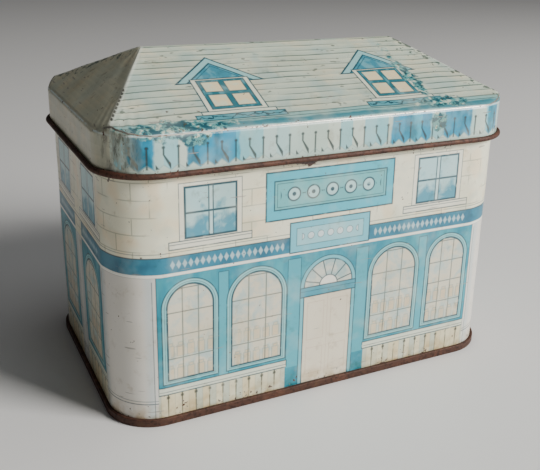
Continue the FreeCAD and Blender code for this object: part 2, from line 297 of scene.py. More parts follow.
class Print:
    """The inks on one sheet, laid one over another."""

    def __init__(self, name, ground):
        self.material = bpy.data.materials.new(name)
        self.material.use_nodes = True
        self.tree = self.material.node_tree
        self.shader = self.tree.nodes["Principled BSDF"]
        spot = self.tree.nodes.new("ShaderNodeTexCoord")
        self.place = spot.outputs["Object"]
        chart = self.tree.nodes.new("ShaderNodeUVMap")
        chart.uv_map = "print"
        parts = self.tree.nodes.new("ShaderNodeSeparateXYZ")
        self.tree.links.new(chart.outputs["UV"], parts.inputs[0])
        self.along = Field(self.tree, parts.outputs[0])
        self.up = Field(self.tree, parts.outputs[1])
        self.ground = ground
        self.hand = None

    def object_axes(self):
        """The sheet's own x, y and z in millimetres."""
        parts = self.tree.nodes.new("ShaderNodeSeparateXYZ")
        self.tree.links.new(self.place, parts.inputs[0])
        return [Field(self.tree, parts.outputs[axis]) * 1000.0 for axis in range(3)]

    def noise(self, size, detail=2.0, roughness=0.5, stretch=None, warp=0.0):
        """Cloudy variation from about 0.3 to 0.7, with patches of 'size' millimetres."""
        node = self.tree.nodes.new("ShaderNodeTexNoise")
        node.inputs["Scale"].default_value = 1000.0 / size
        node.inputs["Detail"].default_value = detail
        node.inputs["Roughness"].default_value = roughness
        node.inputs["Distortion"].default_value = warp
        source = self.place
        if stretch:
            mapping = self.tree.nodes.new("ShaderNodeMapping")
            mapping.inputs["Scale"].default_value = stretch
            self.tree.links.new(source, mapping.inputs["Vector"])
            source = mapping.outputs[0]
        self.tree.links.new(source, node.inputs["Vector"])
        return Field(self.tree, node.outputs[0])

    def chance(self, number):
        """An even chance from 0 to 1 that depends only on a whole number."""
        node = self.tree.nodes.new("ShaderNodeTexWhiteNoise")
        node.noise_dimensions = "1D"
        self.tree.links.new(number.socket, node.inputs["W"])
        return Field(self.tree, node.outputs["Value"])

    def lay(self, chip, cover, way="MIX"):
        """Lay a colour over what is there, as far as cover goes from 0 to 1."""
        node = self.tree.nodes.new("ShaderNodeMix")
        node.data_type = "RGBA"
        node.blend_type = way
        if isinstance(cover, Field):
            self.tree.links.new(cover.socket, node.inputs[0])
        else:
            node.inputs[0].default_value = cover
        if isinstance(self.ground, tuple):
            node.inputs[6].default_value = self.ground
        else:
            self.tree.links.new(self.ground, node.inputs[6])
        node.inputs[7].default_value = chip
        self.ground = node.outputs[2]

    def draw(self, *shapes):
        """Draw these shapes in line ink, a little broken where the ink ran thin."""
        if self.hand is None:
            self.hand = self.noise(2.2, detail=3.0).rise(0.14, 0.40)
        self.lay(INK, join(*shapes).cover() * self.hand)


INK = colour(30, 72, 84)
CREAM = colour(234, 232, 206)
TURQUOISE = colour(20, 132, 154)
WINDOW_BLUE = colour(26, 134, 162)
RUST = colour(72, 40, 28)
BARE_METAL = colour(150, 146, 138)


def finish_print(sheet, worn_places, gloss=0.34):
    """Age a printed sheet: faded patches, scratches, rust and dull varnish.

    Scratches and chips lie where fine noise passes a limit that is lower in worn places.
    """
    tree = sheet.tree
    fade = sheet.noise(9.0, detail=3.0, roughness=0.6)
    sheet.lay(colour(244, 238, 214), fade.rise(0.5, 0.8) * 0.22)
    sheet.lay(colour(206, 196, 168), sheet.noise(17.0, detail=2.0).rise(0.52, 0.75) * 0.30, "MULTIPLY")
    grime = sheet.noise(3.2, detail=4.0, roughness=0.65)
    sheet.lay(colour(176, 160, 130), grime.rise(0.58, 0.8) * 0.5, "MULTIPLY")
    specks = sheet.noise(0.9, detail=1.0)
    blotches = sheet.noise(3.6, detail=3.0, roughness=0.7)
    chipped = specks * 0.55 + blotches * 0.45 + worn_places * 0.34
    chips = chipped.rise(0.70, 0.73)
    scratch = sheet.noise(2.2, detail=1.0, stretch=(0.30, 0.30, 3.0)) + worn_places * 0.10
    scratches = scratch.rise(0.735, 0.75)
    bared = chips.more(scratches * 0.7)
    rusting = sheet.noise(1.7, detail=3.0, roughness=0.6).rise(0.40, 0.55)
    sheet.lay(BARE_METAL, bared)
    sheet.lay(RUST, chips * rusting)
    metal = bared * (rusting * -1.0 + 1.0)
    tree.links.new(sheet.ground, sheet.shader.inputs["Base Color"])
    tree.links.new((metal * 0.8).socket, sheet.shader.inputs["Metallic"])
    rough = grime * 0.30 + (gloss - 0.12)
    tree.links.new((rough + bared * 0.35).socket, sheet.shader.inputs["Roughness"])
    sheet.shader.inputs["Specular IOR Level"].default_value = 0.5
    sheet.shader.inputs["Coat Weight"].default_value = 0.25
    sheet.shader.inputs["Coat Roughness"].default_value = 0.22
    height = tree.nodes.new("ShaderNodeBump")
    height.inputs["Strength"].default_value = 0.35
    height.inputs["Distance"].default_value = 0.00006
    relief = bared * -1.0 + grime * 0.25
    tree.links.new(relief.socket, height.inputs["Height"])
    tree.links.new(height.outputs[0], sheet.shader.inputs["Normal"])
    return sheet.material


# Where things lie in the wall's print, in millimetres: heights above the tin's foot, and
# distances from the middle of a long side or of an end.
PRINT_FOOT = 2.0
BOARDS_TOP = 8.4
LEDGE_TOP = 10.5
PANE_FOOT = 12.4
DOOR_TOP = 28.3
FAN_FOOT = 31.0
ARCH_CROWN = 38.35
SHOP_TOP = 41.0
FRIEZE_FOOT = 41.8
FRIEZE_TOP = 46.0
DISC_HEIGHT = 45.9
SWEET_HEIGHT = 57.8
DOOR_HALF = 7.3
REVEAL_HALF = 8.45
SHOP_HALF = 47.7
END_SHOP_MIDDLE = 13.6
END_SHOP_HALF = 10.2
END_STRIP_HALF = 3.6
UPPER_MIDDLE = 33.4
UPPER_MIDDLE_ON_END = 75.0
STONE_LENGTH = 8.6
STONE_HEIGHT = STONE_LENGTH / 2
SWEET_PITCH = 5.5
DISC_PITCH = 2.9
DIAMOND_PITCH = 1.55
JAR_PITCH = 2.7
RAIL_PITCH = 6.35
PLANK = 1.86


def wall_print():
    """The shop front, printed the same on both long sides, with plainer ends.

    p is the distance along the wall from the middle of a long side, and e is the distance
    from the middle of an end, so a shape drawn once is printed on both sides of each middle.
    """
    sheet = Print("wall_print", CREAM)
    z = sheet.up
    quarter = HALF_ROUND / 2
    e = abs(abs(sheet.along) - quarter)
    p = e * -1.0 + quarter
    on_end = p.above(57.0)
    shop = (p - SHOP_HALF).less(abs(e - END_SHOP_MIDDLE) - END_SHOP_HALF)

    # Stone blocks, in patches.
    course = z.beats(STONE_HEIGHT, 0.4)
    odd = z.work("ADD", -0.4).work("MODULO", 2 * STONE_HEIGHT).above(STONE_HEIGHT)
    joint = (p + odd * (STONE_LENGTH / 2)).beats(STONE_LENGTH, 1.2)
    stones = course.less(joint) - 0.10
    patch = sheet.noise(11.0, detail=1.0).rise(0.44, 0.52)
    sheet.lay(colour(240, 210, 164), sheet.noise(7.0, detail=1.0).rise(0.50, 0.64) * 0.40)
    sheet.lay(colour(196, 204, 184), sheet.noise(6.0, detail=2.0).rise(0.52, 0.66) * 0.40)
    sheet.lay(colour(116, 122, 100), stones.cover(0.25) * patch * 0.7)

    # Upper windows: a lighter surround, glass, glazing bars and a stone sill.
    x = p - UPPER_MIDDLE - on_end * (UPPER_MIDDLE_ON_END - UPPER_MIDDLE)
    surround = panel(x, z, -8.1, 8.1, 49.7, 64.1)
    sheet.lay(colour(233, 232, 214), surround.cover())
    sheet.draw(surround.rim(0.16))
    glass = panel(x, z, -6.6, 6.6, 50.3, 63.0)
    sheet.lay(colour(174, 212, 214), glass.cover())
    curtain = (z * -0.16 + sheet.noise(3.4, detail=3.0, warp=0.6) * 3.4 + 7.6).rise(0.1, 0.9)
    sheet.lay(WINDOW_BLUE, glass.cover() * curtain * 0.85)
    sheet.lay(colour(190, 222, 222), (abs(x) - 0.65).more(glass).cover())
    cross = (abs(z - 56.6) - 0.26).less(abs(abs(x) - 0.55) - 0.16).more(glass)
    sheet.draw(cross, glass.rim(0.55))
    sill = panel(x, z, -10.8, 10.8, 47.8, 49.7)
    sheet.lay(colour(230, 228, 210), sill.cover())
    sheet.draw(sill.rim(0.24), (abs(z - 49.0) - 0.08).more(sill))

    # Sign board over the middle, with a plain row of boiled sweets on it.
    board = panel(p, z, -1.0, 18.8, 51.3, 64.0)
    sheet.lay(colour(76, 182, 202), board.cover())
    field = panel(p, z, -1.0, 16.5, 54.0, 61.6)
    sheet.lay(colour(104, 180, 184), field.cover())
    sheet.draw(board.rim(0.42), field.rim(0.34), panel(p, z, -1.0, 15.7, 54.7, 60.9).rim(0.14))
    q = p.beats(SWEET_PITCH)
    row_end = p - 14.6
    sweet = (length(q, z - SWEET_HEIGHT) - 1.75).more(row_end)
    sheet.lay(colour(176, 216, 216), sweet.cover())
    twist = abs(abs(q - SWEET_PITCH / 2) - 0.1) - 0.35
    wrap = twist.more(abs(z - SWEET_HEIGHT) - 0.9 + q * 0.3).more(p - 13.4)
    sheet.draw(sweet.rim(0.42), (length(q, z - SWEET_HEIGHT) - 0.55).more(row_end), wrap)

    # Frieze that runs all round, with a white cornice below it and a moulding above.
    frieze = span(z, FRIEZE_FOOT, FRIEZE_TOP).more((e - END_STRIP_HALF) * -1.0)
    sheet.lay(colour(40, 124, 150), frieze.cover())
    sheet.lay(colour(18, 84, 112), frieze.cover() * sheet.noise(5.0).rise(0.44, 0.66) * 0.6)
    border = (p - 44.0).more((p - 13.6) * -1.0).less(abs(e - END_SHOP_MIDDLE) - 8.4)
    from_middle = abs(z - (FRIEZE_FOOT + FRIEZE_TOP) / 2)
    diamond = p.beats(DIAMOND_PITCH) + from_middle * 0.55 - 0.62
    bead = diamond.more(from_middle - 1.15).more(border)
    sheet.lay(colour(182, 208, 214), bead.cover(0.3) * 0.85)
    cornice = span(z, SHOP_TOP, FRIEZE_FOOT).more((e - END_STRIP_HALF) * -1.0)
    sheet.lay(colour(240, 240, 230), cornice.cover())
    sheet.draw(abs(z - 46.05) - 0.16, abs(z - 47.1) - 0.06, abs(z - 40.95) - 0.07)

    # Small board below the sign.
    small = panel(p, z, -1.0, 11.9, 41.7, 50.0)
    sheet.lay(colour(110, 190, 206), small.cover())
    inner = panel(p, z, -1.0, 10.0, 43.5, 48.3)
    sheet.lay(colour(148, 202, 210), inner.cover())
    drops = (length(p.beats(DISC_PITCH), z - DISC_HEIGHT) - 0.95).more(p - 8.4)
    sheet.lay(colour(206, 222, 224), drops.cover())
    sheet.draw(small.rim(0.34), inner.rim(0.14), drops.rim(0.12))

    # Turquoise shop front between the corner pillars.
    front = shop.more(span(z, PRINT_FOOT, SHOP_TOP))
    sheet.lay(TURQUOISE, front.cover())
    brush = sheet.noise(4.2, detail=3.0, stretch=(1.0, 1.0, 0.35)).rise(0.42, 0.68)
    sheet.lay(colour(86, 180, 190), front.cover() * brush * 0.55)
    sheet.draw((abs(shop) - 0.20).more(z - SHOP_TOP))
    mullion = (abs(p - 30.2) - 1.35).less(abs(p - 10.3) - 1.9).more(z - 40.0)
    sheet.lay(colour(80, 174, 190), mullion.more((z - 8.0) * -1.0).cover() * 0.75)
    sheet.draw(mullion.rim(0.16).more((z - 8.3) * -1.0))

    # Arched shop windows. Each has its own middle and half width.
    near = p.above(30.0) * -1.0 + 1.0
    middle = near * -18.15 + on_end * 36.2 + 39.05
    radius = near * 1.05 + on_end * 0.85 + 6.05
    w = p - middle
    spring = radius * -1.0 + ARCH_CROWN
    surround = arch(w, z, radius + 1.35, spring, 11.3)
    sheet.lay(colour(136, 198, 202), surround.cover())
    pane = arch(w, z, radius, spring, PANE_FOOT)
    sheet.lay(colour(214, 208, 186), pane.cover())
    shine = sheet.noise(4.0, detail=3.0, roughness=0.55, warp=0.5)
    sheet.lay(colour(150, 190, 196), pane.cover() * shine.rise(0.44, 0.62) * 0.6)
    shelf = (z - 12.6).work("WRAP", RAIL_PITCH, 0.0)
    body = panel(w.beats(JAR_PITCH), shelf, -1.0, 0.95, 0.0, 3.1)
    stopper = panel(w.beats(JAR_PITCH), shelf, -1.0, 0.6, 3.1, 3.9)
    jar = body.less(stopper)
    place = (w + 10 * JAR_PITCH).work("DIVIDE", JAR_PITCH).work("FLOOR")
    stock = sheet.chance(place) * 0.5 + sheet.noise(5.0)
    stocked = pane.cover() * stock.rise(0.45, 0.7) * (z * -1.0 + 27.0).rise(0.0, 5.0)
    sheet.lay(colour(214, 190, 150), jar.cover(0.5) * stocked * 0.7)
    sheet.lay(colour(122, 150, 146), jar.rim(0.2).cover(0.3) * stocked * 0.7)
    upright = abs(abs(w) - radius * 0.345) - 0.16
    rail = z.beats(RAIL_PITCH, 18.45) - 0.15
    sheet.lay(colour(74, 92, 84), upright.less(rail).more(pane).cover() * 0.8)
    sheet.draw(surround.rim(0.28), pane.rim(0.5),
               arch(w, z, radius + 0.65, spring, 11.9).rim(0.10))

    # Doorway, with a fanlight over it and columns at its sides.
    reveal = arch(p, z, REVEAL_HALF, FAN_FOOT, PRINT_FOOT)
    sheet.lay(colour(108, 184, 196), reveal.cover())
    fan = arch(p, z, DOOR_HALF, FAN_FOOT, FAN_FOOT)
    sheet.lay(colour(160, 186, 184), fan.cover())
    sheet.lay(colour(216, 212, 194), fan.cover() * sheet.noise(3.0, detail=2.0).rise(0.46, 0.6) * 0.7)
    turn = (z - FAN_FOOT).work("ARCTAN2", p)
    rays = turn.beats(math.pi / 6, math.pi / 12) * length(p, z - FAN_FOOT) - 0.16
    hub = length(p, z - FAN_FOOT) - 2.7
    sheet.lay(colour(236, 234, 222), hub.more((z - FAN_FOOT) * -1.0).cover())
    sheet.draw(rays.more(fan).more(hub * -1.0), hub.rim(0.3).more(fan), fan.rim(0.34),
               reveal.rim(0.24))
    transom = panel(p, z, -1.0, REVEAL_HALF, DOOR_TOP, FAN_FOOT)
    sheet.lay(colour(66, 150, 170), transom.cover())
    sheet.draw(transom.rim(0.3), (abs(z - 29.9) - 0.07).more(transom))
    door = panel(p, z, -1.0, DOOR_HALF, PRINT_FOOT, DOOR_TOP)
    sheet.lay(colour(224, 214, 192), door.cover())
    panels = panel(p, z, 1.1, 6.1, 15.2, 26.4).less(panel(p, z, 1.1, 6.1, 4.6, 12.6))
    sheet.lay(colour(198, 178, 150), (panels.rim(0.22).less(p - 0.09)).more(door).cover() * 0.55)
    sheet.draw(door.rim(0.32))

    # Stall riser: a stone sill over upright boards.
    boards = shop.more((p - 12.4) * -1.0).more(z - BOARDS_TOP)
    sheet.lay(colour(222, 216, 184), boards.cover())
    plank = (p - 0.6).work("DIVIDE", PLANK).work("FLOOR")
    tone = sheet.chance(plank)
    sheet.lay(colour(160, 184, 180), boards.cover() * tone.rise(0.45, 0.85) * 0.5)
    sheet.lay(colour(206, 182, 128), boards.cover() * tone.rise(0.5, 0.1) * 0.4)
    taper = (z - PRINT_FOOT).rise(0.0, 8.0) * 0.16
    worn_line = boards.cover() * sheet.noise(2.4).rise(0.3, 0.5)
    seams = (p.beats(2 * PLANK, 0.6) - taper - 0.10).cover()
    sheet.lay(colour(70, 70, 52), worn_line * seams * 0.9)
    sheet.lay(colour(106, 106, 84), worn_line * (p.beats(2 * PLANK, 2.5) - 0.04).cover() * 0.45)
    nails = (p.beats(2 * PLANK, 0.6) - 0.45).more(abs(z - 7.5) - 0.35)
    sheet.lay(colour(52, 56, 44), worn_line * nails.cover() * 0.8)
    ledge = shop.more((p - 12.0) * -1.0).more(span(z, BOARDS_TOP, LEDGE_TOP))
    sheet.lay(colour(214, 220, 202), ledge.cover())
    sheet.draw(ledge.rim(0.30), (abs(z - 9.2) - 0.08).more(ledge))

    # Corner pillars and the strip down the middle of each end.
    pillar = (shop * -1.0).more(span(z, PRINT_FOOT, SHOP_TOP)).more((p - 47.0) * -1.0)
    sheet.lay(colour(222, 218, 208), pillar.cover())
    sheet.lay(colour(186, 200, 202), pillar.cover() * (abs(shop - 1.6) * -1.0).rise(-1.8, -0.2) * 0.6)
    base_lines = (abs(z - 6.2) - 0.11).less(abs(z - 7.0) - 0.06).more(pillar)
    sheet.draw(base_lines, (abs(shop - 0.9) - 0.07).more(pillar).more(z - 40.0))

    # One patch of rust under the lid's edge, brown stains at the foot, and wear at both edges.
    edges = (z * -1.0 + 7.0).rise(0.0, 6.0) * 0.30
    under_lid = (z - 62.5).rise(0.0, 5.0) * 0.24
    from_patch = sheet.along.work("ADD", 7.6)
    patch = length(from_patch * 0.62, z - 67.3) * -1.0
    rust_patch = (patch + sheet.noise(1.6, detail=2.0) * 2.4).rise(-1.4, -1.1)
    sheet.lay(RUST, rust_patch)
    tint = (z * -1.0 + 8.0).rise(0.0, 6.0) * sheet.noise(3.0, detail=3.0).rise(0.4, 0.65)
    sheet.lay(colour(188, 158, 104), tint * 0.7, "MULTIPLY")
    return finish_print(sheet, edges.more(under_lid))


def rusty_edge():
    """Rolled edges, where the unprinted side faces out: dark rust with tan spots, partly rubbed high
    spots and partly painted highlights.
    """
    sheet = Print("rusted_edge", colour(76, 50, 40))
    tree = sheet.tree
    broad = sheet.noise(5.0, detail=3.0, roughness=0.6)
    fine = sheet.noise(0.7, detail=3.0, roughness=0.65)
    sheet.lay(colour(96, 62, 48), broad.rise(0.46, 0.64) * 0.7)
    sheet.lay(colour(26, 18, 17), fine.rise(0.50, 0.62) * 0.7)
    # Tan spots, partly rubbed wear and partly painted highlights on the rolled metal.
    rubbed_and_highlight = (sheet.noise(2.6, detail=2.0) * 0.6 + fine * 0.4).rise(0.56, 0.66)
    sheet.lay(colour(132, 104, 86), rubbed_and_highlight * 0.40)
    tree.links.new(sheet.ground, sheet.shader.inputs["Base Color"])
    tree.links.new((rubbed_and_highlight * 0.6 + 0.15).socket, sheet.shader.inputs["Metallic"])
    tree.links.new((fine * 0.4 + 0.40).socket, sheet.shader.inputs["Roughness"])
    sheet.shader.inputs["Specular IOR Level"].default_value = 0.3
    height = tree.nodes.new("ShaderNodeBump")
    height.inputs["Strength"].default_value = 0.5
    height.inputs["Distance"].default_value = 0.0001
    tree.links.new((fine + broad * 0.6).socket, height.inputs["Height"])
    tree.links.new(height.outputs[0], sheet.shader.inputs["Normal"])
    return sheet.material


def plain_tin():
    """The unprinted side: dull tin plating with faint rolling streaks, stains and rust freckles."""
    sheet = Print("plain_tin", colour(178, 174, 164))
    tree = sheet.tree
    streaks = sheet.noise(1.6, detail=3.0, stretch=(1.0, 1.0, 0.08))
    clouds = sheet.noise(14.0, detail=4.0, roughness=0.6)
    sheet.lay(colour(140, 132, 120), clouds.rise(0.42, 0.66) * 0.6)
    sheet.lay(colour(196, 192, 184), streaks.rise(0.5, 0.7) * 0.4)
    freckles = (sheet.noise(0.8, detail=2.0) * 0.5 + sheet.noise(5.0, detail=2.0) * 0.5)
    rust = freckles.rise(0.575, 0.62)
    sheet.lay(colour(112, 74, 50), rust * 0.85)
    tree.links.new(sheet.ground, sheet.shader.inputs["Base Color"])
    tree.links.new((rust * -0.8 + 0.9).socket, sheet.shader.inputs["Metallic"])
    tree.links.new((clouds * 0.3 + rust * 0.3 + 0.22).socket, sheet.shader.inputs["Roughness"])
    height = tree.nodes.new("ShaderNodeBump")
    height.inputs["Strength"].default_value = 0.3
    height.inputs["Distance"].default_value = 0.00004
    tree.links.new((streaks + rust).socket, height.inputs["Height"])
    tree.links.new(height.outputs[0], sheet.shader.inputs["Normal"])
    return sheet.material


def coat(piece, rows, *bands):
    """Give each band of the profile's rows its own finish: (material, first row, end row)."""
    columns = len(piece.data.polygons) // rows
    index = np.zeros(rows, dtype=np.int32)
    for number, (material, first, end) in enumerate(bands):
        piece.data.materials.append(material)
        index[first:end] = number
    piece.data.polygons.foreach_set("material_index", np.tile(index, columns))


def close_up(piece):
    """Merge points that fall together, and turn the faces outward if they face inward."""
    work = bmesh.new()
    work.from_mesh(piece.data)
    bmesh.ops.remove_doubles(work, verts=work.verts, dist=1e-6)
    if work.calc_volume(signed=True) < 0:
        bmesh.ops.reverse_faces(work, faces=work.faces)
    work.to_mesh(piece.data)
    work.free()


rust_coat = rusty_edge()
tin_coat = plain_tin()

# The rows of the profile on the curl's outer face, where the unprinted side shows.
CURL_START = 91
CURL_END = 115
coat(wall, len(wall_profile), (wall_print(), 0, CURL_START), (rust_coat, CURL_START, CURL_END),
     (tin_coat, CURL_END, len(wall_profile)))
close_up(wall)
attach(wall, "tin")
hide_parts("body_wall")

# ---------------------------------------------------------------------------
# Bottom end. A plain tinplate panel pressed with a shallow step. Its rim stands
# down inside the wall's foot and is rolled round it outside, in a double seam.
# ---------------------------------------------------------------------------
CHUCK_IN = -2 * SHEET - LAYER_GAP
CHUCK_OUT = -SHEET - LAYER_GAP
PANEL = 2.6
MARGIN = 7.0
STEP = 0.5
EDGE = 0.25
FLAT_REACH = 11.0
FLAT_SPAN = 25.0
FLAT_UP = PANEL + STEP
end_profile = np.concatenate([
    run((-FLAT_REACH, FLAT_UP - SHEET), (-MARGIN - SHEET, FLAT_UP - SHEET), 4),
    run((-MARGIN - SHEET, FLAT_UP - SHEET), (-MARGIN, PANEL - SHEET), 4),
    run((-MARGIN, PANEL - SHEET), (CHUCK_IN - EDGE, PANEL - SHEET), 6),
    bend(CHUCK_IN - EDGE, PANEL - SHEET - EDGE, EDGE, 90, 0, 5),
    bend(CHUCK_IN + EDGE, EDGE, EDGE, 180, 270, 5),
    bend(SEAM_OUT - EDGE, EDGE, EDGE, 270, 360, 6),
    bend(SEAM_OUT - EDGE, SEAM_HEIGHT - EDGE, EDGE, 0, 90, 6),
    run((0.1, SEAM_HEIGHT), (LAYER_GAP, SEAM_HEIGHT - 0.08), 2),
    run((LAYER_GAP, SEAM_HEIGHT - 0.08), (LAYER_GAP, SHEET * 2 + 2 * LAYER_GAP), 2),
    run((LAYER_GAP, SHEET * 2 + 2 * LAYER_GAP), (SHEET + LAYER_GAP, SHEET * 2 + 2 * LAYER_GAP), 1),
    run((SHEET + LAYER_GAP, SHEET * 2 + 2 * LAYER_GAP), (SHEET + LAYER_GAP, SEAM_HEIGHT - SHEET), 1),
    run((SHEET + LAYER_GAP, SEAM_HEIGHT - SHEET), (SEAM_OUT - SHEET, SEAM_HEIGHT - SHEET), 1),
    run((SEAM_OUT - SHEET, SEAM_HEIGHT - SHEET), (SEAM_OUT - SHEET, SHEET), 1),
    run((SEAM_OUT - SHEET, SHEET), (CHUCK_OUT, SHEET), 2),
    run((CHUCK_OUT, SHEET), (CHUCK_OUT, PANEL), 2),
    run((CHUCK_OUT, PANEL), (-MARGIN, PANEL), 6),
    run((-MARGIN, PANEL), (-MARGIN - SHEET, FLAT_UP), 4),
    run((-MARGIN - SHEET, FLAT_UP), (-FLAT_REACH, FLAT_UP), 4),
    np.array([(-FLAT_REACH, FLAT_UP)]),
])
distance, outline, outward, centre = tin_path(72, 16, 40)
out, up = end_profile[:, 0], end_profile[:, 1]
end_points = np.empty((len(distance), len(up), 3))
end_points[..., :2] = outline[:, None, :] + outward[:, None, :] * out[None, :, None]
end_points[..., 2] = up[None, :]

# The flat of the panel closes in on a line along the tin's length.
spine = np.stack([centre[:, 0] * (HALF_LENGTH - HALF_DEPTH) / FLAT_X, centre[:, 1] * 0], axis=1)


def close_in(ring, share):
    """Rings between a spine along the tin's length and a ring of points, by share of the way."""
    flat = np.concatenate([spine, np.broadcast_to(ring[:1, 2:], (len(ring), 1))], axis=1)
    return flat[:, None, :] + (ring - flat)[:, None, :] * share[None, :, None]


shares = np.linspace(0.0, 1.0, 12, endpoint=False)
under = close_in(end_points[:, 0], shares)
inside_panel = close_in(end_points[:, -1], shares)[:, ::-1]
end_points = np.concatenate([under, end_points, inside_panel], axis=1)
along = np.broadcast_to(distance[:, None], end_points.shape[:2])
flat_reach = -FLAT_REACH - FLAT_SPAN * (1 - shares)
reach = np.concatenate([flat_reach, out, flat_reach[::-1]])
across = np.broadcast_to(reach[None, :], end_points.shape[:2])
bottom = skin("bottom_panel", end_points, along, across, closed=False)

# The rows of the profile on the outside of the double seam, which has rusted.
RIM_START = 26
RIM_END = 52
coat(bottom, end_points.shape[1] - 1, (tin_coat, 0, 0), (rust_coat, RIM_START, RIM_END))
close_up(bottom)
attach(bottom, "tin")
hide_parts("bottom_end")

# ---------------------------------------------------------------------------
# Lid. One sheet of printed tinplate drawn into a hipped roof and a straight skirt,
# with its lower edge rolled outward. It slips over the wall's curl and rests on it.
# ---------------------------------------------------------------------------
lid_low, lid_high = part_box("lid")
LID_CURL = 1.45
LID_GAP = 0.25
SKIRT_IN = BODY_CURL - SHEET + LID_GAP
SKIRT_OUT = SKIRT_IN + SHEET
LID_FOOT = lid_low.z / MM
LID_CURL_UP = LID_FOOT + LID_CURL / 2
LID_CURL_OUT = SKIRT_IN + LID_CURL / 2
RIDGE = lid_high.z / MM
SKIRT_DEPTH = 10.2
EAVE = LID_FOOT + SKIRT_DEPTH
EAVE_BEND = 0.4
RIDGE_HALF = 38.5
ROOF_RISE = RIDGE - EAVE
RUN_X = HALF_LENGTH + SKIRT_OUT - RIDGE_HALF
RUN_Y = HALF_DEPTH + SKIRT_OUT
SLOPE = math.hypot(RUN_Y, ROOF_RISE)
FLUTE = 2.3
CRUSHED_PLACE = -FLAT_X - ARC / 2
CRUSHED_WIDTH = 8.0
CORNER_FLUTES = 0.10
CRUSHED_FLUTES = 0.22
CRUSHED_FOLDS = 0.35
DENTS = 0.16
RIDGE_SOFTNESS = 0.30

skirt_profile = np.concatenate([
    run((SKIRT_IN, EAVE - EAVE_BEND), (SKIRT_IN, LID_CURL_UP), 16),
    bend(LID_CURL_OUT, LID_CURL_UP, LID_CURL / 2, 180, 470, 30),
    bend(LID_CURL_OUT, LID_CURL_UP, LID_CURL / 2 - SHEET, 470, 180, 24),
    run((SKIRT_OUT, LID_CURL_UP + 0.05), (SKIRT_OUT, EAVE - EAVE_BEND), 16),
])
distance, outline, outward, centre = tin_path(96, 30, 56)
out, up = skirt_profile[:, 0], skirt_profile[:, 1]

# Drawing the sheet leaves shallow upright flutes in the corners, and one corner is crushed.
at_corner = (np.abs(outward[:, :1]) * np.abs(outward[:, 1:]) * 2) ** 1.5
crushed = np.exp(-((distance[:, None] - CRUSHED_PLACE) / CRUSHED_WIDTH) ** 2)
flutes = 0.5 + 0.5 * np.sin(distance[:, None] * 2 * math.pi / FLUTE + 1.3 * ripple(
    distance[:, None], up[None, :], 12.0, 4.0))


def level(places):
    """How far up the roof a place in plan lies: 0 at the eaves and 1 at the ridge.

    It is the lesser of the two slopes' levels, so the slopes meet in straight hips.
    """
    from_end = 1 - (np.abs(places[..., 0]) - RIDGE_HALF) / RUN_X
    from_side = 1 - np.abs(places[..., 1]) / RUN_Y
    return np.minimum(from_end, from_side)


def roof(eave_out, share, sink):
    """One side of the roof sheet, from the eave at share 0 to the ridge at share 1.

    Each line runs straight in plan from the rounded eave to the ridge. Its height is that of
    the slopes, less the sink, with slow dents, and a little less at the ridge, which is soft.
    Round the corners the eave itself rises to where the skirt meets the slopes.
    """
    eave = outline + outward * eave_out
    crest = centre * np.array([RIDGE_HALF / FLAT_X, 0.0])
    plan = eave[:, None, :] + (crest - eave)[:, None, :] * share[None, :, None]
    climb = level(plan).clip(0, 1)
    dents = DENTS * ripple(distance[:, None], SLOPE * share[None, :], 26.0, 2.0)
    fading = np.exp(-share[None, :] * SLOPE / 7.0)
    folds = CRUSHED_FOLDS * crushed * fading * (flutes[:, -1:] - 0.5)
    free = np.minimum(share, 1 - share)[None, :].clip(0, 0.06) / 0.06
    soft = RIDGE_SOFTNESS * np.exp((climb - 1) * SLOPE / 0.8)
    height = EAVE + ROOF_RISE * climb - sink - soft + (dents + folds) * free
    return np.concatenate([plan, height[..., None]], axis=2), climb * SLOPE


NEAR_RIDGE = 0.08
lower_shares = np.linspace(0.0, 1 - NEAR_RIDGE, 40)
upper_shares = 1 - NEAR_RIDGE * np.linspace(1, 0, 12)[1:] ** 1.6
shares = np.concatenate([lower_shares, upper_shares])
outer_roof, outer_reach = roof(SKIRT_OUT, shares[1:], 0.0)
inner_roof, inner_reach = roof(SKIRT_IN, shares[::-1], SHEET * SLOPE / RUN_Y)

# The skirt follows the eave, which rises a little round each corner, and bends over into it.
eave_lift = (ROOF_RISE * level(outline + outward * SKIRT_OUT).clip(0, 1))[:, None]
tightening = np.clip((up - LID_CURL_UP) / (EAVE - LID_CURL_UP), 0, 1)[None, :]
folded = (at_corner * CORNER_FLUTES + crushed * CRUSHED_FLUTES) * flutes * tightening
skirt_points = np.empty((len(distance), len(up), 3))
skirt_points[..., :2] = outline[:, None, :] + outward[:, None, :] * (out[None, :] + folded)[..., None]
skirt_points[..., 2] = up[None, :] + eave_lift * tightening
bend_share = np.linspace(0, 1, 7)[None, 1:-1, None]
start = skirt_points[:, -1:]
turn = start + np.array([0, 0, EAVE_BEND])
finish = outer_roof[:, :1]
bend_over = ((1 - bend_share) ** 2 * start + 2 * bend_share * (1 - bend_share) * turn
             + bend_share ** 2 * finish)
lid_points = np.concatenate([inner_roof, skirt_points, bend_over, outer_roof], axis=1)

# On the print's map the skirt counts down from the eave in millimetres of height, and the
# roof counts up in millimetres of slope, so that level lines stay level round the corners.
above_eave = np.concatenate([skirt_points, bend_over], axis=1)[..., 2] - EAVE
skirt_reach = np.where(above_eave < 0, above_eave, above_eave * SLOPE / ROOF_RISE)
reach = np.concatenate([inner_reach, skirt_reach, outer_reach], axis=1)
along = np.broadcast_to(distance[:, None], reach.shape)
lid = skin("printed_lid", lid_points, along, reach, closed=False)


# Sizes in the lid's print, in millimetres. Places up the roof are measured from the eave.
BOARD = 2.66
DORMER_MIDDLE = 23.6
DORMER_TOP = 22.8
SOFFIT_TOP = 20.8
GABLE_FOOT = 20.5
GABLE_SLANT = 1.02
LEDGE_FOOT = 4.0
SILL_FOOT = 6.2
CORD_PITCH = HALF_ROUND / 50
FIRST_CORD = 1.0
CORD_TOP = -2.7
HOOK_START = -4.6
STRIP_FOOT = -7.0
AWNING_END = 56.5
LAST_CORD = 55.0


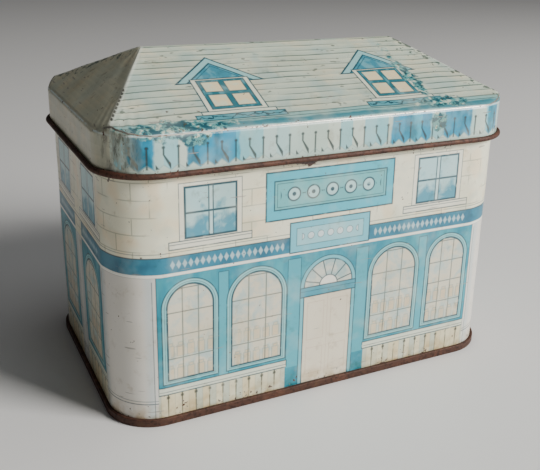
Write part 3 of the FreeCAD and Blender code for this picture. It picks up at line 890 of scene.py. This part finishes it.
def lid_print():
    """The roof and awning. Both long sides carry the same picture, each turned to its own front.

    t runs along the eave of the slope it is on, and v is the distance up the slope from the
    eave, or down the skirt where it is negative. 'off' keeps a shape off the end slopes.
    """
    sheet = Print("lid_print", colour(206, 214, 192))
    x, y, _ = sheet.object_axes()
    v = sheet.up
    hip = (abs(x) - RIDGE_HALF) * (-1 / RUN_X) + abs(y) * (1 / RUN_Y)
    on_long = hip.above(0.0)
    t = x * (y.above(0.0) * -2.0 + 1.0)
    on_roof = v.above(0.0)
    off = on_long * -200.0 + 100.0

    # Lapped boards, each with a dark line under its lower edge and a little shade above it.
    wobble = sheet.noise(7.0, detail=2.0, stretch=(0.45, 1.0, 1.0))
    uneven = v + wobble * 1.1
    sheet.lay(colour(232, 218, 182), sheet.noise(10.0, detail=3.0).rise(0.48, 0.62) * 0.60)
    sheet.lay(colour(156, 190, 188), sheet.noise(8.0, detail=3.0).rise(0.50, 0.64) * 0.55)
    lap = uneven.work("WRAP", BOARD, 0.0).rise(BOARD, 1.0)
    sheet.lay(colour(164, 182, 170), lap * 0.45)
    strength = sheet.noise(3.4, detail=3.0, stretch=(0.22, 1.0, 1.0))
    joints = uneven.beats(BOARD) - strength * 0.55
    line = joints.work("ADD", 0.10).cover(0.30) * strength.rise(0.30, 0.44)
    sheet.lay(colour(66, 92, 86), line * (on_long * 0.82 + 0.08))
    knots = sheet.noise(1.5, detail=1.0, stretch=(0.6, 1.0, 1.0)).rise(0.66, 0.70)
    sheet.lay(colour(78, 92, 82), knots * sheet.noise(9.0).rise(0.48, 0.56) * on_roof * 0.8)
    sheet.lay(colour(176, 158, 118), (on_long * -1.0 + 1.0) * 0.45)

    # Gutter: a broken teal line along the foot of each long slope.
    streaks = sheet.noise(2.6, detail=3.0, stretch=(0.3, 1.0, 1.0))
    gutter = span(v, 0.0, 4.6).more(off)
    sheet.lay(colour(120, 178, 176), gutter.cover(0.5) * 0.8)
    dark = (span(v, 0.5, 2.5) + (streaks - 0.5) * 3.0).more(off)
    sheet.lay(colour(34, 116, 132), dark.cover(0.6) * 0.85)
    sheet.draw((abs(v - 3.3) - 0.13).more(off), (abs(v - 4.6) - 0.08).more(off))

    # Dormers: a gable over a four-light window with a wide sill.
    d = abs(abs(t) - DORMER_MIDDLE)
    slope = (v + d * GABLE_SLANT) * 0.70
    gable = (slope - DORMER_TOP).more(v * -1.0 + GABLE_FOOT).more(off)
    sheet.lay(colour(150, 200, 200), gable.cover())
    soffit = (slope - SOFFIT_TOP).more(v * -1.0 + GABLE_FOOT).more(off)
    sheet.lay(colour(62, 136, 156), soffit.cover())
    brush = sheet.noise(2.4, detail=3.0, stretch=(1.0, 0.4, 1.0))
    sheet.lay(colour(112, 176, 186), soffit.cover() * brush.rise(0.46, 0.60) * 0.7)
    inner = (slope - 19.9).more(v * -1.0 + 22.3).more(off)
    sheet.draw(gable.rim(0.50), soffit.rim(0.44), inner.rim(0.2))
    case = panel(d, v, -1.0, 7.9, 7.4, 22.2).more(off)
    sheet.lay(colour(222, 226, 204), case.cover())
    sheet.draw(case.rim(0.36))
    sash = panel(d, v, -1.0, 6.5, 8.5, 21.6).more(off)
    sheet.lay(colour(40, 108, 120), sash.cover())
    sheet.lay(colour(104, 168, 178), sash.cover() * brush.rise(0.50, 0.60) * 0.6)
    lights = panel(d, v, 0.75, 5.5, 9.6, 14.7).less(panel(d, v, 0.75, 5.5, 16.1, 20.7)).more(off)
    sheet.lay(colour(230, 212, 170), lights.cover())
    sheet.lay(colour(210, 222, 196), lights.cover() * sheet.noise(3.0).rise(0.46, 0.60) * 0.7)
    sheet.draw(sash.rim(0.30), lights.rim(0.22))
    sill = panel(d, v, -1.0, 9.8, SILL_FOOT, 7.6).more(off)
    sheet.lay(colour(214, 222, 202), sill.cover())
    ledge = panel(d, v, -1.0, 11.7, LEDGE_FOOT, SILL_FOOT).more(off)
    sheet.lay(colour(88, 156, 166), ledge.cover())
    scroll = (abs(v - 5.1 + sheet.noise(1.6) * 3.4 - 1.7) - 0.30).more(ledge)
    sheet.draw(sill.rim(0.3), ledge.rim(0.36), scroll)

    # Awning: narrow hanging strips with pointed ends, some runs of them bright blue, and
    # straight and hooked cords by turns between them.
    u = sheet.along.work("WRAP", HALF_ROUND / 2, -HALF_ROUND / 2)
    from_cord = u - FIRST_CORD
    past = from_cord.work("WRAP", 2 * CORD_PITCH, 0.0)
    chance = sheet.chance(from_cord.work("DIVIDE", CORD_PITCH).work("FLOOR"))
    q = from_cord.beats(CORD_PITCH)
    below = (v + 0.1).more(abs(u) - AWNING_END)
    sheet.lay(colour(186, 208, 196), below.cover(0.5))
    hem = (v * -1.0) - q * 0.75 + STRIP_FOOT
    strips = below.more(hem)
    sheet.lay(colour(110, 190, 204), strips.cover() * chance.rise(0.25, 0.8) * 0.9)
    sheet.lay(colour(222, 222, 204), strips.cover() * (chance.beats(0.34)).rise(0.10, 0.17) * 0.4)
    wash = (sheet.noise(2.6, detail=2.0) - 0.5) * 2.5
    vivid = join(span(u, -52.8, -47.4), span(u, -39.4, -26.6), span(u, 16.4, 28.8),
                 span(u, 33.2, 42.4), span(u, 48.0, 52.4))
    vivid = (vivid + wash * 0.5).more(strips)
    sheet.lay(colour(0, 146, 184), vivid.cover(0.6))
    sheet.lay(colour(70, 184, 208), vivid.cover(0.6) * chance.rise(0.70, 0.74) * 0.7)
    # Painted shade: the blue strips are darkened just round one corner of each long side, where the
    # skirt turns toward the end.
    corner_shade = (span(u, -53.0, -50.2) + wash).more(strips)
    sheet.lay(colour(0, 88, 104), corner_shade.cover(1.2) * 0.7)
    shade = sheet.noise(3.4, detail=3.0, stretch=(1.0, 1.0, 0.5)).rise(0.47, 0.62)
    sheet.lay(colour(0, 92, 112), vivid.cover(0.6) * shade * 0.7)
    hooked = past.above(CORD_PITCH * 0.5) * past.work("LESS_THAN", CORD_PITCH * 1.5)
    lean = (v * -1.0 + HOOK_START).more(0.0) * hooked
    away = (from_cord - lean * 0.62 + CORD_PITCH / 2).work("WRAP", CORD_PITCH, 0.0) - CORD_PITCH / 2
    cord = (abs(away) - 0.22 - lean * 0.09).more(span(v, -8.0, CORD_TOP))
    knob = length(q, v + 2.9) - 0.40
    cords = join(cord, knob).more(abs(u) - LAST_CORD)
    sheet.lay(colour(36, 54, 54), cords.cover(0.3) * 0.92)
    sheet.lay(colour(112, 148, 146), hem.rim(0.26).more(below).cover(0.3) * 0.4)

    # Climbing leaves along the gutter, and down past the right-hand dormer over the eave.
    low = length((t + 42.0) * 0.26, v - 1.6) - 3.4
    bunch = length((t + 37.3) * 0.95, v + 1.6) - 1.7
    stem = length(t - 32.0, (v - 16.0) * 0.14) - 1.7
    spread = length((t - 35.0) * 0.30, v - 3.4) - 2.0
    hang = length((t - 31.4) * 0.8, v + 3.0) - 2.4
    creeper = join(low, bunch, stem, spread, hang).more(off)
    leaf = sheet.noise(3.0, detail=3.0, roughness=0.6)
    small = sheet.noise(1.7, detail=2.0, roughness=0.6)
    mass = (creeper + (leaf - 0.5) * 6.0).cover(0.8)
    sheet.lay(colour(92, 154, 152), mass)
    sheet.lay(colour(16, 78, 92), mass * small.rise(0.50, 0.54) * 0.95)
    sheet.lay(colour(202, 214, 194), mass * small.rise(0.43, 0.40) * 0.85)
    sheet.lay(colour(60, 62, 40), mass * sheet.noise(0.9, detail=1.0).rise(0.62, 0.66) * 0.75)

    # The eave and hips are rubbed, and the pale lines along them are partly painted highlights; the
    # drawn corners are crazed and grey.
    # A pale line along the eave, partly rubbed wear and partly a painted highlight on the bend.
    rubbed_and_highlight = (abs(v + 0.1) - 0.26).cover(0.3) * sheet.noise(3.0, detail=2.0).rise(0.34, 0.46)
    sheet.lay(colour(218, 236, 236), rubbed_and_highlight * 0.75)
    crest = (abs(hip * 15.0) - 0.22).more(v * -1.0 + 3.0)
    # A pale line along each hip, partly rubbed wear and partly a painted highlight on the crease.
    sheet.lay(colour(224, 228, 216), (crest - 0.30).cover(0.4) * 0.5)
    tufts = (abs(hip * 15.0) - 1.6).more(t * -1.0 + 20.0) + (small - 0.58) * -22.0
    sheet.lay(colour(46, 70, 60), tufts.cover(0.6) * on_roof * 0.8)
    dashes = (crest - 0.05).more(v.beats(1.5) - 0.55).more(v - 20.0).cover(0.3)
    sheet.lay(colour(34, 36, 34), dashes * sheet.noise(2.2).rise(0.40, 0.48) * 0.9)
    corner = length(abs(x) - 58.0, abs(y) - 36.5)
    crazing = (corner * -1.0 + 8.4).rise(0.0, 5.0) * (v * -1.0 + 7.0).rise(0.0, 6.0)
    smear = sheet.noise(1.5, detail=3.0, roughness=0.7, stretch=(1.0, 1.0, 0.35))
    heavy = (x * -1.0 - 20.0).above(0.0) * (y * -1.0).above(0.0) * 0.65 + 0.3
    sheet.lay(colour(150, 152, 136), crazing * smear.rise(0.36, 0.48) * heavy)
    sheet.lay(colour(74, 80, 68), crazing * smear.rise(0.53, 0.62) * heavy)
    foot = (v * -1.0 - 7.2).rise(0.0, 1.6) * 0.26
    eave_wear = (abs(v) * -1.0 + 1.4).rise(0.0, 1.2) * 0.24
    worn = foot.more(eave_wear).more(crazing * 0.2)
    return finish_print(sheet, worn)


lid_rows = lid_points.shape[1] - 1

# The rows of the profile on the rolled edge's outer face, where the unprinted side shows.
LID_CURL_START = 66
LID_CURL_END = 97
coat(lid, lid_rows, (tin_coat, 0, LID_CURL_START), (rust_coat, LID_CURL_START, LID_CURL_END),
     (lid_print(), LID_CURL_END, lid_rows))
close_up(lid)
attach(lid, "lid")
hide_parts("lid")

# ---------------------------------------------------------------------------
# Floor. A plain pale surface for the tin to stand on.
# ---------------------------------------------------------------------------
REACH = 3.0
floor_mesh = bpy.data.meshes.new("floor")
floor_corners = [(-REACH, -REACH, 0), (REACH, -REACH, 0), (REACH, REACH, 0), (-REACH, REACH, 0)]
floor_mesh.from_pydata(floor_corners, [], [(0, 1, 2, 3)])
floor = bpy.data.objects.new("floor", floor_mesh)
bpy.context.scene.collection.objects.link(floor)
paint = bpy.data.materials.new("pale_floor")
paint.use_nodes = True
paint.node_tree.nodes["Principled BSDF"].inputs["Base Color"].default_value = (0.78, 0.77, 0.75, 1)
floor.data.materials.append(paint)

# ---------------------------------------------------------------------------
# Camera and light. The camera looks down on the front and the left end, and a
# window to the right and in front gives most of the light.
# ---------------------------------------------------------------------------
CAMERA = Vector((-98.12, -204.21, 121.11)) * MM
FORWARD = Vector((0.4268, 0.8452, -0.3216))
ROLL = 1.441
side = FORWARD.cross(Vector((0, 0, 1))).normalized()
upright = side.cross(FORWARD)
turned = side * math.cos(math.radians(ROLL)) + upright * math.sin(math.radians(ROLL))
upright = turned.cross(FORWARD)
view = Matrix((turned, upright, -FORWARD)).transposed().to_4x4()
view.translation = CAMERA
camera_data = bpy.data.cameras.new("camera")
camera = bpy.data.objects.new("camera", camera_data)
camera.matrix_world = view
camera_data.lens = 52.77
camera_data.sensor_width = 36
camera_data.shift_x = -0.0285
camera_data.shift_y = -0.0709
camera_data.clip_start = 0.01
bpy.context.scene.collection.objects.link(camera)
bpy.context.scene.camera = camera

TIN_MIDDLE = Vector((0, 0, 0.04))


def lamp(name, place, size, power, tint):
    """A square area light in metres and watts that faces the middle of the tin."""
    data = bpy.data.lights.new(name, "AREA")
    data.shape = "RECTANGLE"
    data.size = size
    data.size_y = size
    data.energy = power
    data.color = tint
    item = bpy.data.objects.new(name, data)
    aim = (TIN_MIDDLE - Vector(place)).to_track_quat("-Z", "Y")
    item.matrix_world = Matrix.Translation(place) @ aim.to_matrix().to_4x4()
    bpy.context.scene.collection.objects.link(item)


lamp("window", (0.78, -0.88, 0.70), 0.5, 30.0, (1.0, 0.985, 0.96))
lamp("ceiling", (0.35, -0.15, 1.2), 0.8, 2.2, (0.95, 0.98, 1.0))
world = bpy.data.worlds.new("room")
bpy.context.scene.world = world
world.use_nodes = True
glow = world.node_tree.nodes["Background"]
glow.inputs["Color"].default_value = (0.8, 0.8, 0.82, 1)
glow.inputs["Strength"].default_value = 0.09
